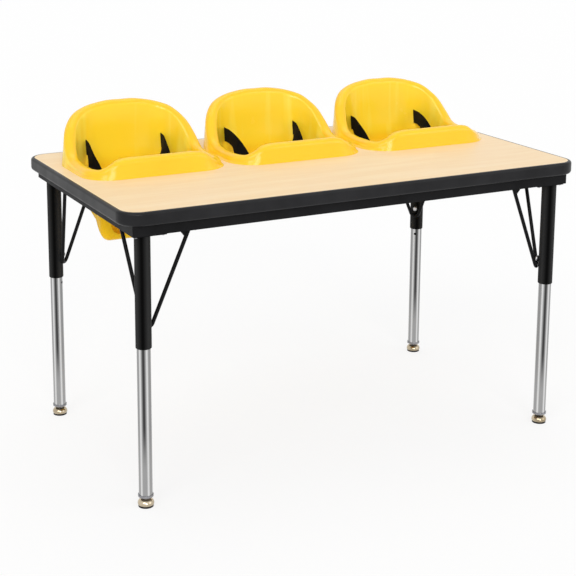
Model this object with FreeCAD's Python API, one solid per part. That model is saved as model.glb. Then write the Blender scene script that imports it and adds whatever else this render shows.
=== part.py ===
import FreeCAD, Part
import math
import os

# Three-seat toddler feeding table. Millimetres, Z up, X along the table, children sit at +Y and face -Y.

overrun = 5.0  # how far cutting shapes run past what they cut
fit = 0.08  # radial running fit
touch = 0.3  # gap between pieces that only lie against each other

# Top
table_length = 1219.2
table_width = 685.8
table_height = 696.0
corner_radius = 50.0
top_thickness = 31.75
laminate_thickness = 1.2
band_reach = 9.0
band_top_round = 6.5
band_bottom_round = 8.0
tongue_depth = 9.0
tongue_thickness = 3.2

# Black rails under the top
rail_height = 25.4
rail_width = 48.0
rail_inset_x = 26.0
rail_inset_y = 18.0

# Seats
seat_names = ("left", "middle", "right")
seat_end_gap = 38.6  # table's end to the nearest seat
seat_space = 13.0  # between one seat and the next
seat_depth = 305.0
seat_back_gap = 67.9  # table's back edge to the back of a seat
seat_front_corner = 75.0
seat_back_corner = 120.0
lip_reach = 43.0
lip_crest = 22.0
roll_radius = 15.0
sheet = 4.5
backrest_height = 142.0
front_height = 48.0
side_height = 20.0
crease_reach = 6.0
crease_share = 0.35
tub_depth = 160.0
tub_round = 20.0
draft_share = 0.07
seat_hole_gap = 2.5
span_counts = (4, 6, 8, 7, 2)  # spans on half the mouth: front, front corner, side, back corner, back
front_rise_shares = (
    (0.0, 1.0), (0.215, 1.0), (0.238, 0.94), (0.264, 0.5), (0.29, 0.06), (0.31, 0.0), (1.0, 0.0),
)
back_rise_shares = (
    (0.0, 0.0), (0.46, 0.0), (0.55, 0.04), (0.60, 0.14), (0.645, 0.40), (0.68, 0.60),
    (0.745, 0.81), (0.80, 0.905), (0.86, 0.965), (0.92, 1.0), (1.0, 1.0),
)
floor_shares = ((-1.0, 1.0), (0.19, 1.0), (0.25, 0.82), (0.71, 0.54), (1.0, 0.10), (2.0, 0.10))
pan_centre_share = 0.48
pan_length_share = 0.14
pan_width_share = 0.33
pan_blend_shares = (0.66, 0.33)
bend_degrees = (60, 30)
roll_degrees = (180, 144, 108, 72, 36, 0)

# Leg openings in the front of a tub
leg_opening_share = 0.32  # of the tub's width
leg_opening_height = 84.0
leg_opening_round = 26.0
leg_opening_sill = 14.0
post_share = 0.18  # of the tub's width

# Seat bosses and the screws under the table
boss_radius = 7.0
boss_cover = 3.5
boss_front_reach = 60.0
back_boss_reach = 14.0
back_boss_height = 40.0
pilot_depth = 12.0
screw_grip = 10.0
screw_radius = 2.1
screw_head_radius = 4.4
screw_head_height = 2.8
wood_screw_length = 20.0

# Lap straps, their keepers and buckles
strap_width = 36.0
strap_thickness = 1.6
slot_inset = 41.0  # from the tub's side
slot_height = 30.0
slot_length = 39.0
slot_width = 3.2
keeper_radius = 3.0
keeper_length = 48.0
keeper_setback = 18.0
socket_length = 34.0
tongue_length = 18.0
buckle_width = 44.0
buckle_thickness = 12.0
buckle_round = 4.0
buckle_wall = 2.6
buckle_split = 8.0  # middle of the seat to where socket and tongue meet
prong_length = 20.0
prong_width = 9.0
strap_pocket = 7.0
strap_gap = 0.6
strap_lead = 5.0  # straight run of a strap in front of its buckle
# Strap routes from the slot to the buckle: shares of the way across, forward, down and of the turn to flat
straight_route_shares = (
    (0.02, 0.12, 0.03, 0.0), (0.08, 0.28, 0.18, 0.1), (0.20, 0.45, 0.43, 0.35),
    (0.40, 0.65, 0.72, 0.7), (0.62, 0.82, 0.90, 0.95), (0.85, 0.96, 0.98, 1.0),
)
dropped_route_shares = (
    (0.01, 0.14, 0.06, 0.0), (0.05, 0.30, 0.26, 0.1), (0.12, 0.46, 0.50, 0.35),
    (0.32, 0.66, 0.76, 0.7), (0.58, 0.83, 0.91, 0.95), (0.85, 0.96, 0.98, 1.0),
)
bowed_route_shares = (
    (0.02, 0.22, 0.02, 0.0), (0.06, 0.48, 0.10, 0.05), (0.14, 0.72, 0.30, 0.25),
    (0.34, 0.94, 0.62, 0.6), (0.60, 1.02, 0.86, 0.9), (0.85, 1.0, 0.97, 1.0),
)
strap_routes = {
    "left": (dropped_route_shares, straight_route_shares),
    "middle": (bowed_route_shares, straight_route_shares),
    "right": (straight_route_shares, bowed_route_shares),
}

# Legs
leg_inset_x = 58.1
leg_inset_y = 43.3
plate_size = 78.0
plate_thickness = 3.0
plate_margin = 4.5
plate_chamfer = 30.0
plate_screw_inset = 6.5
sleeve_diameter = 36.5
sleeve_wall = 2.0
sleeve_length = 259.0
sleeve_mouth = 8.0
sleeve_roll = 1.2
tube_diameter = 31.75
tube_wall = 1.6
hole_pitch = 25.4
holes_above = 3
holes_below = 3
hole_radius = 3.5
tube_end_margin = 15.0
lock_height = 62.0
lock_boss_radius = 8.0
lock_boss_height = 3.0
lock_screw_radius = 3.2
lock_head_radius = 6.2
lock_head_height = 4.0
lock_recess_radius = 2.2
lock_recess_depth = 1.6

# Braces
rod_radius = 4.6
rod_bend = 12.0
brace_weld_height = 42.0
bend_passes = 6
brace_reach = 112.0
tab_length = 34.0
tab_width = 20.0
tab_thickness = 4.0
tab_screw_inset = 7.0
web_length = 26.0
web_drop = 22.0
web_thickness = 4.0

# Glides
sole_diameter = 35.0
sole_thickness = 4.0
spigot_radius = 13.0
spigot_height = 2.0
cup_diameter = 38.0
cup_height = 12.5
cup_rim_height = 3.0
cup_collar_radius = 8.4
cup_floor = 1.2
ball_radius = 6.0
neck_radius = 3.0
neck_height = 2.5
stem_radius = 5.0
stem_length = 24.0
glide_gap = 5.5
mouth_gap = 1.4
ferrule_diameter = 35.6
ferrule_flange = 4.5
ferrule_plug = 18.0

# Places worked out from the sizes above
diagonal = math.sqrt(0.5)
top_z = table_height
core_low = top_z - top_thickness
rail_low = core_low - rail_height
plate_low = rail_low - plate_thickness
sleeve_low = plate_low - sleeve_length
sleeve_radius = sleeve_diameter / 2
tube_radius = tube_diameter / 2
leg_x = table_length / 2 - leg_inset_x
leg_y = table_width / 2 - leg_inset_y
lock_z = sleeve_low + lock_height
rail_x = table_length / 2 - rail_inset_x
rail_y = table_width / 2 - rail_inset_y
seat_count = len(seat_names)
seat_width = (table_length - 2 * seat_end_gap - (seat_count - 1) * seat_space) / seat_count
seat_pitch = seat_width + seat_space
mouth_half = seat_width / 2 - lip_reach
mouth_front = table_width / 2 - seat_back_gap - seat_depth + lip_reach
mouth_depth = seat_depth - 2 * lip_reach
mouth_back = mouth_front + mouth_depth
mouth_front_corner = seat_front_corner - lip_reach
mouth_back_corner = seat_back_corner - lip_reach
leg_opening_width = 2 * leg_opening_share * mouth_half
post_width = 2 * post_share * mouth_half
slot_reach = mouth_half - slot_inset
ball_z = sole_thickness + spigot_height + cup_floor + ball_radius
cup_top = sole_thickness + cup_height
ferrule_low = cup_top + neck_height + glide_gap
tube_low = ferrule_low + ferrule_flange
tube_top = lock_z + holes_above * hole_pitch + tube_end_margin
up = FreeCAD.Vector(0, 0, 1)


def vec(x, y, z):
    return FreeCAD.Vector(x, y, z)


def save(name, shapes):
    """Writes one node: a solid, or a group of separate solids."""
    shape = Part.makeCompound(shapes) if isinstance(shapes, list) else shapes
    shape.exportStep("parts/" + name + ".step")


def box(x0, x1, y0, y1, z0, z1):
    return Part.makeBox(x1 - x0, y1 - y0, z1 - z0, vec(x0, y0, z0))


def drum(radius, height, base, axis=up):
    return Part.makeCylinder(radius, height, base, axis)


def spin(points, x=0.0, y=0.0):
    """Solid of revolution about the upright line through x, y. Points are radius and height."""
    face = Part.Face(Part.makePolygon([vec(r, 0, z) for r, z in points + points[:1]]))
    solid = face.revolve(vec(0, 0, 0), up, 360)
    solid.translate(vec(x, y, 0))
    return solid


def outline(half, front, back, front_round, back_round, z):
    """Closed wire of a rounded rectangle whose front and back corners have their own radii."""

    def corner(cx, cy, r, start, middle, end):
        return Part.Arc(*[vec(cx + r * a, cy + r * b, z) for a, b in (start, middle, end)]).toShape()

    fx, bx = half - front_round, half - back_round
    fy, by = front + front_round, back - back_round
    d = diagonal
    return Part.Wire([
        Part.makeLine(vec(-fx, front, z), vec(fx, front, z)),
        corner(fx, fy, front_round, (0, -1), (d, -d), (1, 0)),
        Part.makeLine(vec(half, fy, z), vec(half, by, z)),
        corner(bx, by, back_round, (1, 0), (d, d), (0, 1)),
        Part.makeLine(vec(bx, back, z), vec(-bx, back, z)),
        corner(-bx, by, back_round, (0, 1), (-d, d), (-1, 0)),
        Part.makeLine(vec(-half, by, z), vec(-half, fy, z)),
        corner(-fx, fy, front_round, (-1, 0), (-d, -d), (0, -1)),
    ])


def slab(wire, height):
    return Part.Face(wire).extrude(vec(0, 0, height))


def seat_places():
    """Middle of each seat along the table, left to right."""
    middle = (len(seat_names) - 1) / 2
    return [(name, (i - middle) * seat_pitch) for i, name in enumerate(seat_names)]


def pan_screw(x, y, under, length):
    """Round-headed screw driven upwards, its head against the height under."""
    low = under - screw_head_height
    return spin([
        (0, low), (screw_head_radius / 2, low), (screw_head_radius, under - screw_head_height / 2),
        (screw_head_radius, under), (screw_radius, under), (screw_radius, under + length), (0, under + length),
    ], x, y)


# Top, edge and rails

def top_outline(inset, z):
    r = corner_radius - inset
    return outline(table_length / 2 - inset, inset - table_width / 2, table_width / 2 - inset, r, r, z)


def seat_hole(x, z, height):
    """Cutter for one seat's hole in the top."""
    growth = sheet + seat_hole_gap
    hole = slab(outline(
        mouth_half + growth, mouth_front - growth, mouth_back + growth,
        mouth_front_corner + growth, mouth_back_corner + growth, z - overrun,
    ), height + 2 * overrun)
    hole.translate(vec(x, 0, 0))
    return hole


def top_layer(low, thickness):
    """A layer of the top with its seat holes and the clearance holes of the seat screws."""
    layer = slab(top_outline(band_reach, low), thickness)
    for _, x in seat_places():
        layer = layer.cut(seat_hole(x, low, thickness))
        for bx, by, _ in seat_bosses():
            base = vec(x + bx, by, low - overrun)
            layer = layer.cut(drum(screw_radius + touch, thickness + 2 * overrun, base))
    return layer


def tongue_ring():
    """Tongue of the edge, and the groove that it fills in the core."""
    low = core_low + (top_thickness - tongue_thickness) / 2
    ring = slab(top_outline(band_reach, low), tongue_thickness)
    return ring.cut(slab(top_outline(band_reach + tongue_depth, low), tongue_thickness))


def make_edge():
    whole = slab(top_outline(0, core_low), top_thickness)
    rounds = ((top_z, band_top_round), (core_low, band_bottom_round))
    for z, radius in rounds:
        rim = [e for e in whole.Edges if abs(e.BoundBox.ZMin - z) + abs(e.BoundBox.ZMax - z) < touch]
        whole = whole.makeFillet(radius, rim)
    band = whole.cut(slab(top_outline(band_reach, core_low - overrun), top_thickness + 2 * overrun))
    return band.fuse(tongue_ring()).removeSplitter()


def rail_holes():
    """Cutters for the screws of the leg plates and braces."""
    places = plate_screw_places() + brace_screw_places()
    return [drum(screw_radius + fit, wood_screw_length + touch, vec(x, y, rail_low)) for x, y in places]


def make_rails():
    inner_x = rail_x - rail_width
    inner_y = rail_y - rail_width
    rails = {
        "left_rail": box(-rail_x, -inner_x, -rail_y, rail_y, rail_low, core_low),
        "right_rail": box(inner_x, rail_x, -rail_y, rail_y, rail_low, core_low),
        "front_rail": box(-inner_x, inner_x, -rail_y, -inner_y, rail_low, core_low),
        "back_rail": box(-inner_x, inner_x, inner_y, rail_y, rail_low, core_low),
    }
    for name, rail in rails.items():
        save(name, rail.cut(Part.makeCompound(rail_holes())))


# Seat: a moulded sheet, lofted through rings that follow the tub's mouth

def along(table, share):
    """Value at a share of the way along a table of shares."""
    for (a, va), (b, vb) in zip(table, table[1:]):
        if share <= b:
            return va + (vb - va) * (share - a) / (b - a)
    return table[-1][1]


def mouth_stations():
    """Places round the mouth from the middle of the front: x, y, outward normal, share of the half round."""
    fx, bx = mouth_half - mouth_front_corner, mouth_half - mouth_back_corner
    fy, by = mouth_front + mouth_front_corner, mouth_back - mouth_back_corner
    quarter = math.pi / 2

    def bend(cx, cy, r, angle):
        c, s = math.cos(angle), math.sin(angle)
        return cx + r * c, cy + r * s, c, s

    runs = [
        (fx, lambda t: (t * fx, mouth_front, 0, -1)),
        (quarter * mouth_front_corner, lambda t: bend(fx, fy, mouth_front_corner, (t - 1) * quarter)),
        (by - fy, lambda t: (mouth_half, fy + t * (by - fy), 1, 0)),
        (quarter * mouth_back_corner, lambda t: bend(bx, by, mouth_back_corner, t * quarter)),
        (bx, lambda t: (bx * (1 - t), mouth_back, 0, 1)),
    ]
    whole = sum(length for length, _ in runs)
    half, before = [], 0
    for (length, place), spans in zip(runs, span_counts):
        for i in range(spans):
            half.append(place(i / spans) + ((before + length * i / spans) / whole,))
        before += length
    half.append((0, mouth_back, 0, 1, 1.0))
    return half + [(-x, y, -nx, ny, share) for x, y, nx, ny, share in half[-2:0:-1]]


def rim_height(share):
    front = along(front_rise_shares, share) * (front_height - side_height)
    back = along(back_rise_shares, share) * (backrest_height - side_height)
    return side_height + front + back


def floor_z(y):
    """Height of the sitting surface against the table top."""
    return -tub_depth * along(floor_shares, (y - mouth_front) / mouth_depth)


def pan_ring(x, y):
    """Place on the flat middle of the pan that faces a place on the mouth."""
    pan_y = mouth_front + pan_centre_share * mouth_depth
    angle = math.atan2((y - pan_y) / mouth_depth, x / (2 * mouth_half))
    return vec(pan_width_share * mouth_half * math.cos(angle),
               pan_y + pan_length_share * mouth_depth * math.sin(angle), 0)


def seat_section(station, wall):
    """The sheet's places at one station. wall is 0 on the side that is sat in and the sheet on the other."""
    x, y, nx, ny, share = station
    shoulder = rim_height(share) - roll_radius
    tall_share = shoulder / (backrest_height - roll_radius)
    crease = crease_reach * tall_share
    reach = draft_share * floor_z(y)
    deep = floor_z(y + ny * (reach - tub_round))
    bend, roll = tub_round + wall, roll_radius - wall

    def at(n, z):
        return vec(x + nx * n, y + ny * n, top_z + z)

    edge = at(reach - tub_round, deep - wall)
    pan = pan_ring(x, y)
    flat = [pan] + [edge + (pan - edge) * blend for blend in pan_blend_shares]
    places = [vec(p.x, p.y, top_z + floor_z(p.y) - wall) for p in flat] + [edge]
    for degrees in bend_degrees:
        a = math.radians(degrees)
        places.append(at(reach - tub_round + bend * math.cos(a), deep + tub_round - bend * math.sin(a)))
    places += [at(reach + wall, deep + tub_round), at(wall, 0), at(crease + wall, shoulder * crease_share)]
    for degrees in roll_degrees:
        a = math.radians(degrees)
        places.append(at(lip_crest + roll * math.cos(a), shoulder + roll * math.sin(a)))
    outer = (lip_crest + roll_radius + lip_reach) / 2
    return places + [at(outer - wall, shoulder / 2), at(lip_reach - wall, 0)]


def ring_joints():
    """Numbers of the stations where straight runs and corners meet, all the way round."""
    half = [sum(span_counts[:i]) for i in range(len(span_counts) + 1)]
    return half + [2 * half[-1] - i for i in half[-2:0:-1]]


def skin(wall):
    """Rings of one side of the sheet, from the pan to the foot of the lip, and the faces between them."""
    joints = ring_joints()
    rings = []
    for ring in zip(*[seat_section(station, wall) for station in mouth_stations()]):
        curve = Part.BSplineCurve()
        curve.interpolate(Points=list(ring), PeriodicFlag=True)
        cuts = [curve.FirstParameter] + [curve.parameter(ring[i]) for i in joints[1:]] + [curve.LastParameter]
        rings.append([curve.toShape(a, b) for a, b in zip(cuts, cuts[1:])])
    faces = [Part.makeRuledSurface(*pair) for two in zip(rings, rings[1:]) for pair in zip(*two)]
    return Part.Wire(rings[0]), Part.Wire(rings[-1]), faces


def seat_bosses():
    """Screw bosses under the lip, as x, y and height: two in front and one in each back corner."""
    front = (boss_front_reach, mouth_front - lip_crest, front_height - boss_cover)
    corner = (mouth_back_corner + back_boss_reach) * diagonal
    back = (mouth_half - mouth_back_corner + corner, mouth_back - mouth_back_corner + corner, back_boss_height)
    return [(side * x, y, height) for x, y, height in (front, back) for side in (-1, 1)]


def leg_opening(side):
    """Cutter for one leg opening through the front of the tub."""
    half = leg_opening_width / 2
    low = top_z - tub_depth + leg_opening_sill
    wire = outline(half, low, low + leg_opening_height, leg_opening_round, leg_opening_round, 0)
    cutter = slab(wire, 2 * tub_round)
    cutter.rotate(vec(0, 0, 0), vec(1, 0, 0), 90)
    cutter.translate(vec(side * (post_width + leg_opening_width) / 2, mouth_front + 2 * tub_round - overrun, 0))
    return cutter


def slot_wall_y():
    """Sitting side of the back corner where the belt slots are."""
    run = slot_reach - (mouth_half - mouth_back_corner)
    return mouth_back - mouth_back_corner + math.sqrt(mouth_back_corner ** 2 - run ** 2)


def slot_cutter(side):
    """Cutter for the upright belt slot in one back corner."""
    low = top_z + slot_height - slot_length / 2
    middle = side * slot_reach
    y = slot_wall_y()
    return box(middle - slot_width / 2, middle + slot_width / 2, y - 2 * overrun, y + keeper_setback,
               low, low + slot_length)


def make_seat():
    """One seat, in the middle of the table."""
    pan, lip, faces = skin(0)
    pan_under, lip_under, more = skin(sheet)
    faces += more + [Part.Face(pan), Part.Face(pan_under)]
    faces.append(Part.makeFace([lip, lip_under], "Part::FaceMakerBullseye"))
    shell = Part.makeShell(faces)
    shell.sewShape()
    seat = Part.makeSolid(shell.Shells[0])
    if seat.Volume < 0:
        seat.reverse()
    seat = seat.fuse([drum(boss_radius, h, vec(x, y, top_z)) for x, y, h in seat_bosses()])
    cuts = [drum(screw_radius + fit, pilot_depth, vec(x, y, top_z)) for x, y, _ in seat_bosses()]
    for side in (-1, 1):
        cuts += [leg_opening(side), slot_cutter(side)]
    return seat.cut(cuts)


# Straps and buckles

def pan_slope():
    """Angle of the flat pan in degrees."""
    rise = floor_z(mouth_back - mouth_depth / 3) - floor_z(mouth_front + mouth_depth / 3)
    return math.degrees(math.atan2(rise, mouth_depth / 3))


def buckle_centre():
    """Middle of the buckle, which lies on the pan."""
    y = mouth_front + pan_centre_share * mouth_depth
    lift = buckle_thickness / 2 + touch
    slope = math.radians(pan_slope())
    return vec(0, y - lift * math.sin(slope), top_z + floor_z(y) + lift * math.cos(slope))


def on_pan(shape, x):
    """Lays a piece drawn flat about the origin on the pan of the seat at x."""
    shape.rotate(vec(0, 0, 0), vec(1, 0, 0), pan_slope())
    shape.translate(buckle_centre() + vec(x, 0, 0))
    return shape


def buckle_block(x0, x1):
    half, thick = buckle_width / 2, buckle_thickness / 2
    block = box(x0, x1, -half, half, -thick, thick)
    long_edges = [e for e in block.Edges if e.BoundBox.XLength > touch]
    return block.makeFillet(buckle_round, long_edges)


def strap_hole(x, inward):
    """Pocket for the strap's end in a buckle face at x."""
    far = x + inward * strap_pocket
    half, thick = strap_width / 2 + strap_gap, strap_thickness / 2 + strap_gap
    outside = x - inward * overrun
    return box(min(outside, far), max(outside, far), -half, half, -thick, thick)


def make_socket():
    start = buckle_split - socket_length
    half, thick = buckle_width / 2 - buckle_wall, buckle_thickness / 2 - buckle_wall
    mouth = box(buckle_split - prong_length - touch, buckle_split + overrun, -half, half, -thick, thick)
    return buckle_block(start, buckle_split).cut([mouth, strap_hole(start, 1)])


def make_tongue():
    start, end = buckle_split + touch, buckle_split + touch + tongue_length
    half, thick = buckle_width / 2 - buckle_wall - touch, buckle_thickness / 2 - buckle_wall - touch
    tongue = buckle_block(start, end).cut(strap_hole(end, -1))
    for low in (-half, half - prong_width):
        tongue = tongue.fuse(box(start - prong_length, start, low, low + prong_width, -thick, thick))
    return tongue


def keeper_place(side):
    return vec(side * slot_reach, slot_wall_y() + keeper_setback, top_z + slot_height)


def make_keeper(side):
    return drum(keeper_radius, keeper_length, keeper_place(side) - vec(0, 0, keeper_length / 2))


def strap_section(place, turn, side):
    """Thin rectangle across a strap: on edge at the slot, and flat on the pan once turned."""
    slope = math.radians(pan_slope())
    lean = turn * (math.pi / 2 - slope)
    wide = vec(0, math.sin(lean), math.cos(lean)) * (strap_width / 2)
    flat = vec(0, -math.sin(slope), math.cos(slope))
    thin = (vec(side, 0, 0) * (1 - turn) + flat * turn).normalize() * (strap_thickness / 2)
    corners = [place - wide - thin, place + wide - thin, place + wide + thin, place - wide + thin]
    return Part.makePolygon(corners + corners[:1])


def make_strap(side, route):
    """One strap: a sewn loop round its keeper, then the webbing through the slot to the buckle."""
    keeper = keeper_place(side)
    inner = keeper_radius + touch
    outer = inner + strap_thickness
    base = keeper - vec(0, 0, strap_width / 2)
    loop = drum(outer, strap_width, base).cut(drum(inner, strap_width, base))
    start = vec(keeper.x, slot_wall_y(), keeper.z)
    face_x = buckle_split + touch + tongue_length if side > 0 else buckle_split - socket_length
    end = buckle_centre() + vec(face_x + side * strap_lead, 0, 0)
    sections = [strap_section(vec(keeper.x, keeper.y - (inner + outer) / 2, keeper.z), 0, side)]
    for across, forward, down, turn in ((0, 0, 0, 0),) + route + ((1, 1, 1, 1),):
        place = vec(start.x + across * (end.x - start.x), start.y + forward * (end.y - start.y),
                    start.z + down * (end.z - start.z))
        sections.append(strap_section(place, turn, side))
    grip = strap_lead + strap_pocket - strap_gap
    sections.append(strap_section(end - vec(side * grip, 0, 0), 1, side))
    return loop.fuse(Part.makeLoft(sections, True, True))


def make_seats():
    seat, socket, tongue = make_seat(), make_socket(), make_tongue()
    keepers, screws = [], []
    for name, x in seat_places():
        save("seat_" + name, seat.translated(vec(x, 0, 0)))
        save("buckle_socket_" + name, on_pan(socket.copy(), x))
        save("buckle_tongue_" + name, on_pan(tongue.copy(), x))
        for side, route in zip((-1, 1), strap_routes[name]):
            strap = make_strap(side, route)
            save("strap_{}_{}".format(name, "left" if side < 0 else "right"), strap.translated(vec(x, 0, 0)))
            keepers.append(make_keeper(side).translated(vec(x, 0, 0)))
        for bx, by, _ in seat_bosses():
            screws.append(pan_screw(x + bx, by, core_low, top_thickness + screw_grip))
    save("strap_keepers", keepers)
    save("seat_screws", screws)


# Legs, drawn for the back right corner and mirrored to the others

corners = {"front_left": (-1, -1), "front_right": (1, -1), "back_right": (1, 1), "back_left": (-1, 1)}
inward = vec(-diagonal, -diagonal, 0)


def to_corner(shape, sx, sy):
    if sx < 0:
        shape = shape.mirror(vec(0, 0, 0), vec(1, 0, 0))
    if sy < 0:
        shape = shape.mirror(vec(0, 0, 0), vec(0, 1, 0))
    return shape


def all_corners(places):
    return [(sx * x, sy * y) for sx, sy in corners.values() for x, y in places]


def plate_far():
    """Outer corner of a leg plate."""
    return rail_x - plate_margin, rail_y - plate_margin


def plate_screw_corner():
    """Screws of one plate: its outer corner and its two ends along the rails."""
    x, y = plate_far()
    near = plate_size - plate_screw_inset
    far = plate_screw_inset
    return [(x - far, y - far), (x - near, y - far), (x - far, y - near)]


def plate_screw_places():
    return all_corners(plate_screw_corner())


def make_plate():
    x, y = plate_far()
    low_x, low_y = x - plate_size, y - plate_size
    points = [(low_x + plate_chamfer, low_y), (x, low_y), (x, y), (low_x, y), (low_x, low_y + plate_chamfer)]
    wire = Part.makePolygon([vec(a, b, plate_low) for a, b in points + points[:1]])
    plate = slab(wire, plate_thickness)
    holes = [drum(screw_radius + touch, plate_thickness, vec(a, b, plate_low)) for a, b in plate_screw_corner()]
    return plate.cut(holes)


def leg_at(z):
    return vec(leg_x, leg_y, z)


def make_sleeve():
    """Tube sleeve whose rolled mouth guides the chrome tube, with the lock screw's boss."""
    clear = sleeve_radius - sleeve_wall
    guide = tube_radius + fit
    sleeve = spin([
        (guide, sleeve_low + sleeve_roll), (guide + sleeve_roll, sleeve_low),
        (sleeve_radius - sleeve_roll, sleeve_low), (sleeve_radius, sleeve_low + sleeve_roll),
        (sleeve_radius, plate_low), (clear, plate_low), (clear, sleeve_low + sleeve_mouth + sleeve_roll),
        (guide, sleeve_low + sleeve_mouth),
    ], leg_x, leg_y)
    boss = drum(lock_boss_radius, sleeve_radius + lock_boss_height, leg_at(lock_z), inward)
    boss = boss.cut(drum(clear, 2 * lock_boss_radius + overrun, leg_at(lock_z - lock_boss_radius - overrun)))
    hole = drum(lock_screw_radius + fit, sleeve_radius + lock_boss_height + overrun, leg_at(lock_z), inward)
    return sleeve.fuse(boss).cut(hole)


def make_lock_screw():
    """Pan-head screw whose tip stops just short of the chrome tube."""
    tip = tube_radius + touch
    seat = sleeve_radius + lock_boss_height
    top = seat + lock_head_height
    screw = spin([
        (0, tip), (lock_screw_radius, tip), (lock_screw_radius, seat), (lock_head_radius, seat),
        (lock_head_radius, seat + lock_head_height / 2), ((lock_head_radius + lock_recess_radius) / 2, top),
        (lock_recess_radius, top), (lock_recess_radius, top - lock_recess_depth), (0, top - lock_recess_depth),
    ])
    screw.rotate(vec(0, 0, 0), up.cross(inward), 90)
    screw.translate(leg_at(lock_z))
    return screw


def make_tube():
    tube = drum(tube_radius, tube_top - tube_low, leg_at(tube_low))
    tube = tube.cut(drum(tube_radius - tube_wall, tube_top - tube_low, leg_at(tube_low)))
    steps = range(-holes_below, holes_above + 1)
    holes = [drum(hole_radius, tube_radius + overrun, leg_at(lock_z + i * hole_pitch), inward) for i in steps]
    return tube.cut(holes)


def make_ferrule():
    """Plug with a flange in the tube's end, bored for the glide's stem."""
    bore = stem_radius + fit
    plug = tube_radius - tube_wall
    return spin([
        (bore, ferrule_low), (ferrule_diameter / 2, ferrule_low), (ferrule_diameter / 2, tube_low),
        (plug, tube_low), (plug, tube_low + ferrule_plug), (bore, tube_low + ferrule_plug),
    ], leg_x, leg_y)


def make_stem():
    neck_top = cup_top + neck_height
    neck = drum(neck_radius, neck_top - ball_z, leg_at(ball_z))
    shaft = drum(stem_radius, stem_length, leg_at(neck_top))
    return Part.makeSphere(ball_radius, leg_at(ball_z)).fuse([neck, shaft])


def make_cup():
    """Bell-shaped cup, crimped over the stem's ball."""
    low, rim = sole_thickness, cup_diameter / 2
    step = (cup_height - cup_rim_height) / 3
    cup = spin([
        (0, low), (sole_diameter / 2, low), (rim, low + cup_rim_height / 2), (rim, low + cup_rim_height),
        ((rim + cup_collar_radius) / 2, low + cup_rim_height + step),
        (cup_collar_radius, low + cup_rim_height + 2 * step), (cup_collar_radius, cup_top), (0, cup_top),
    ], leg_x, leg_y)
    mouth = drum(neck_radius + mouth_gap, cup_height, leg_at(ball_z))
    return cup.cut([Part.makeSphere(ball_radius + fit, leg_at(ball_z)), mouth, make_spigot()])


def make_spigot():
    return drum(spigot_radius, spigot_height - touch, leg_at(sole_thickness))


def make_sole():
    base = drum(sole_diameter / 2, sole_thickness, leg_at(0))
    return base.fuse(make_spigot()).removeSplitter()


def brace_ends():
    """Where the two arms of a brace meet the rails: along the end rail's and the long rail's middle."""
    long_y = rail_y - rail_width / 2
    side_x = rail_x - rail_width / 2
    return [(vec(leg_x - brace_reach, long_y, rail_low), vec(-1, 0, 0)),
            (vec(side_x, leg_y - brace_reach, rail_low), vec(0, -1, 0))]


def brace_screw_corner():
    reach = tab_length / 2 + rod_radius - tab_screw_inset
    return [(end.x + out.x * reach, end.y + out.y * reach) for end, out in brace_ends()]


def brace_screw_places():
    return all_corners(brace_screw_corner())


def brace_arms(ends):
    """Sharp corner of a brace's arms and their directions, set so that the bend's nose lies on the weld."""
    weld = leg_at(sleeve_low + brace_weld_height) + inward * (sleeve_radius + rod_radius + touch)
    vertex = weld
    for _ in range(bend_passes):
        sides = [(end - vertex).normalize() for end, _ in ends]
        middle = (sides[0] + sides[1]).normalize()
        half = sides[0].getAngle(sides[1]) / 2
        vertex = weld - middle * (rod_bend / math.sin(half) - rod_bend)
    return vertex, sides, half, weld


def make_brace():
    """Bent rod welded to the sleeve's inner side, with a tab and a web under each rail."""
    ends = brace_ends()
    vertex, sides, half, nose = brace_arms(ends)
    legs = [vertex + side * (rod_bend / math.tan(half)) for side in sides]
    tips = [end + side * overrun for (end, _), side in zip(ends, sides)]
    path = Part.Wire([Part.makeLine(tips[0], legs[0]), Part.Arc(legs[0], nose, legs[1]).toShape(),
                      Part.makeLine(legs[1], tips[1])])
    ring = Part.Wire(Part.makeCircle(rod_radius, tips[0], legs[0] - tips[0]))
    brace = path.makePipeShell([ring], True, False)
    for (end, out), side in zip(ends, sides):
        brace = brace.fuse(brace_tab(end, out)).fuse(brace_web(end, out, side))
    above = box(-table_length, table_length, -table_width, table_width, rail_low, table_height)
    holes = [drum(screw_radius + touch, tab_thickness + overrun, vec(x, y, rail_low - tab_thickness))
             for x, y in brace_screw_corner()]
    return brace.cut([above] + holes).removeSplitter()


def brace_tab(end, out):
    """Flat tab under a rail, from the rod outwards."""
    across = vec(out.y, -out.x, 0) * (tab_width / 2)
    back, front = out * (-tab_length / 2 + rod_radius), out * (tab_length / 2 + rod_radius)
    low = end - vec(0, 0, tab_thickness)
    points = [low + back - across, low + front - across, low + front + across, low + back + across]
    return slab(Part.makePolygon(points + points[:1]), tab_thickness)


def brace_web(end, out, side):
    """Upright web in the corner between a tab and the rod, on the leg's side."""
    low = end - side * (web_drop / abs(side.z))
    points = [end, low, end - out * web_length]
    web = Part.Face(Part.makePolygon(points + points[:1])).extrude(vec(out.y, -out.x, 0) * web_thickness)
    web.translate(vec(out.y, -out.x, 0) * (-web_thickness / 2))
    return web


def make_legs():
    pieces = {
        "leg_plate_": make_plate(), "leg_sleeve_": make_sleeve(), "leg_brace_": make_brace(),
        "leg_tube_": make_tube(), "leg_ferrule_": make_ferrule(), "glide_stem_": make_stem(),
        "glide_cup_": make_cup(), "glide_sole_": make_sole(),
    }
    for name, (sx, sy) in corners.items():
        for kind, piece in pieces.items():
            save(kind + name, to_corner(piece, sx, sy))
    lock_screw = make_lock_screw()
    save("lock_screws", [to_corner(lock_screw, sx, sy) for sx, sy in corners.values()])
    length = wood_screw_length
    save("plate_screws", [pan_screw(x, y, plate_low, length) for x, y in plate_screw_places()])
    tab_low = rail_low - tab_thickness
    save("brace_screws", [pan_screw(x, y, tab_low, length) for x, y in brace_screw_places()])


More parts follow.
